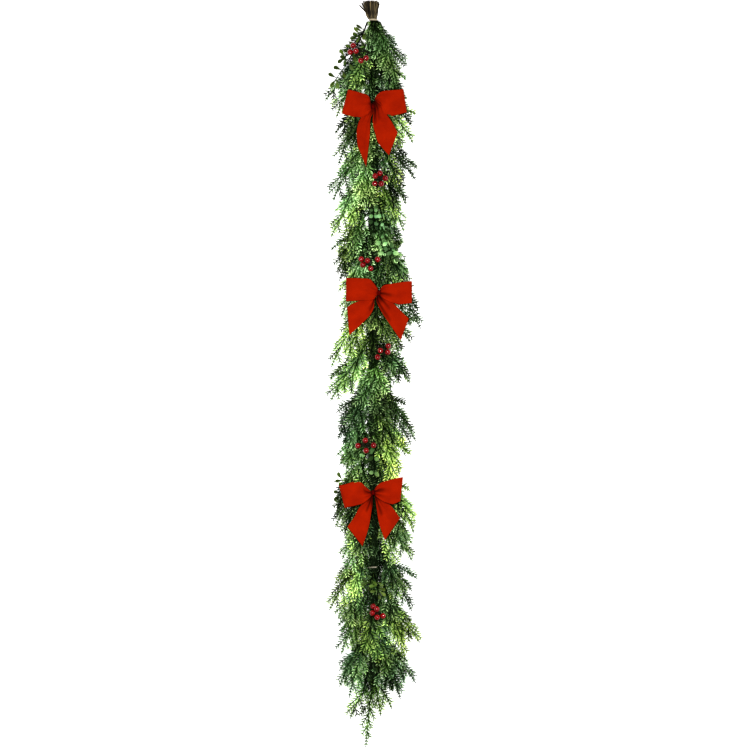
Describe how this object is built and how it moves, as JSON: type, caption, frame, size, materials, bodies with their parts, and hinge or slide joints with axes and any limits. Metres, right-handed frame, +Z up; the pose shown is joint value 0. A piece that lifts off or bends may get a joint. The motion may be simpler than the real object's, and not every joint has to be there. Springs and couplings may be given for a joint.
{
  "type": "christmas garland",
  "caption": "Long drop garland of mixed evergreen sprays on a wrapped stem, with red ribbon bows, red berry picks and a tied tuft of twigs at the top.",
  "frame": {"origin": "middle of the underside, on the surface that the garland lies on", "axes": "+Y along the garland towards the tuft of twigs, +Z up, towards the face with the bows, +X to the right as the garland is seen from its face"},
  "size_m": [0.2428, 1.8284, 0.0882],
  "materials": {
    "cedar_green": "satin moulded foliage, mid green",
    "cedar_lime": "satin moulded foliage, green with lime tips",
    "juniper": "matte moulded foliage, dark blue green",
    "box": "satin olive leaves",
    "eucalyptus": "matte pale grey green leaves",
    "spine": "matte dark wrapped stem",
    "twigs": "rough brown bark",
    "twine": "natural twine",
    "wire": "thin beige coated wire",
    "band": "dark red velvet band over a wire",
    "ribbon": "red velvet",
    "berry": "glossy red"
  },
  "bodies": {
    "root": {"spine": "spine", "twig_bundle": "twigs", "neck_tie": "twine", "tie_wire": "wire", "bow_1_ribbon": "ribbon", "bow_1_tie": "band", "bow_2_ribbon": "ribbon", "bow_2_tie": "band", "bow_3_ribbon": "ribbon", "bow_3_tie": "band", "berry_pick_1": "berry", "berry_pick_2": "berry", "berry_pick_3": "berry", "berry_pick_4": "berry", "berry_pick_5": "berry", "berry_pick_6": "berry", "spray_left_01": "box", "spray_left_02": "cedar_green", "spray_left_03": "juniper", "spray_left_04": "cedar_green", "spray_left_05": "cedar_lime", "spray_left_06": "juniper", "spray_left_07": "cedar_green", "spray_left_08": "cedar_lime", "spray_left_09": "cedar_lime", "spray_left_10": "juniper", "spray_left_11": "cedar_green", "spray_left_12": "box", "spray_left_13": "cedar_green", "spray_left_14": "cedar_lime", "spray_left_15": "cedar_green", "spray_left_16": "juniper", "spray_right_01": "juniper", "spray_right_02": "cedar_green", "spray_right_03": "cedar_lime", "spray_right_04": "juniper", "spray_right_05": "cedar_green", "spray_right_06": "eucalyptus", "spray_right_07": "juniper", "spray_right_08": "cedar_green", "spray_right_09": "cedar_green", "spray_right_10": "juniper", "spray_right_11": "cedar_lime", "spray_right_12": "cedar_lime", "spray_right_13": "cedar_green", "spray_right_14": "juniper", "spray_right_15": "cedar_lime", "spray_right_16": "juniper", "spray_front_1": "cedar_green", "spray_front_2": "cedar_green", "spray_front_3": "eucalyptus", "spray_front_4": "cedar_green", "spray_front_5": "eucalyptus", "spray_front_6": "box", "spray_front_7": "cedar_lime", "spray_end": "cedar_lime", "spray_back_1": "cedar_green", "spray_back_2": "juniper", "spray_back_3": "cedar_green", "spray_back_4": "juniper"}
  },
  "joints": []
}
